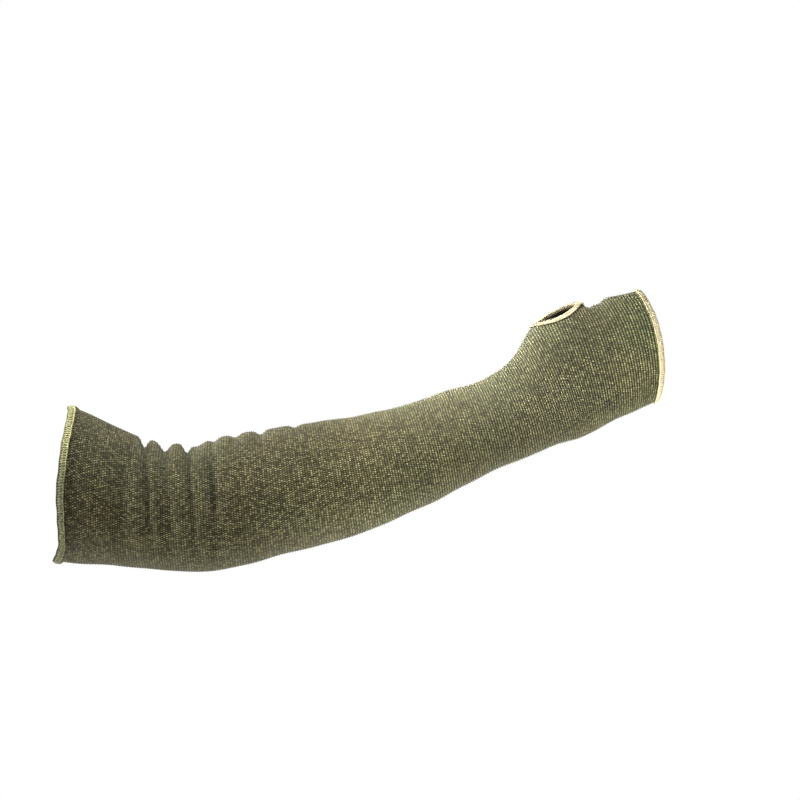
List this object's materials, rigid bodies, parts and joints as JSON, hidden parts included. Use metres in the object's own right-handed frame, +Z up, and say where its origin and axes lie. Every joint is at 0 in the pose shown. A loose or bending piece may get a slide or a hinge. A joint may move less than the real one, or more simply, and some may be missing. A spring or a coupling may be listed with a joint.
{
  "type": "cut resistant sleeve",
  "caption": "Knitted tube sleeve for the arm in its worn shape, bunched at the elbow, with overlocked hems and a thumb hole.",
  "frame": {"origin": "centre of the upper arm opening", "axes": "+X along the arm to the hand, +Z up towards the thumb side at the hand, -Y towards the palm side"},
  "size_m": [0.4456, 0.1048, 0.2074],
  "materials": {
    "knit": "matte marled knit, olive grey with khaki and cream flecks",
    "overlock": "matte cream overlock thread"
  },
  "bodies": {
    "root": {"sleeve_body": "knit", "upper_arm_hem": "overlock", "hand_hem": "overlock", "thumb_hem": "overlock"}
  },
  "joints": []
}
